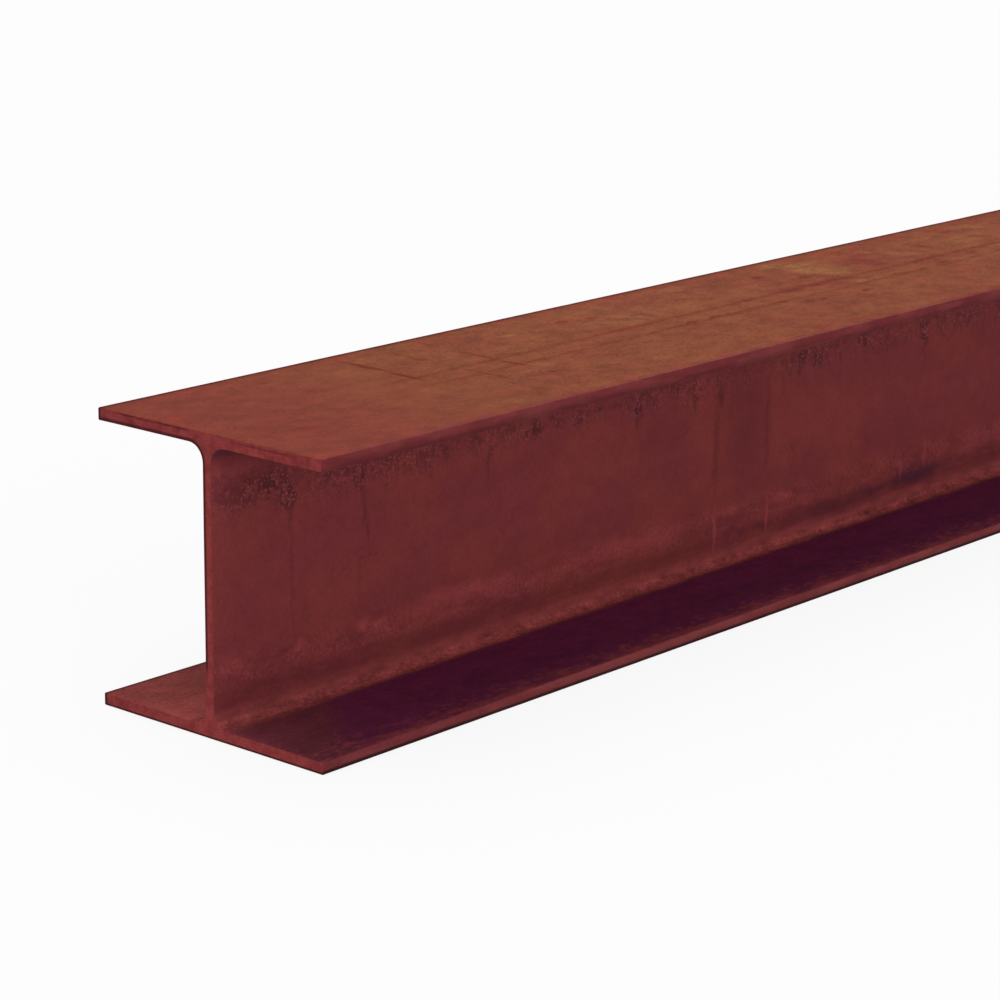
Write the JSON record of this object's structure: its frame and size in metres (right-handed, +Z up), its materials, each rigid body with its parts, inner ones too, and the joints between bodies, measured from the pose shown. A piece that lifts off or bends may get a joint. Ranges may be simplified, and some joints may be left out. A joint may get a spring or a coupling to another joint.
{
  "type": "steel h-beam",
  "caption": "Rolled steel H-section beam with equal flange width and depth, root fillets and square-sawn ends, in red-oxide rust.",
  "frame": {"origin": "centre of the bottom flange's underside, midway along the beam", "axes": "+X along the beam, +Y across the flanges, +Z up through the web from the bottom flange to the top flange"},
  "size_m": [3, 0.152, 0.152],
  "materials": {
    "rusted_steel": "matt red-oxide rust over mill scale"
  },
  "bodies": {
    "root": {"h_beam": "rusted_steel"}
  },
  "joints": []
}
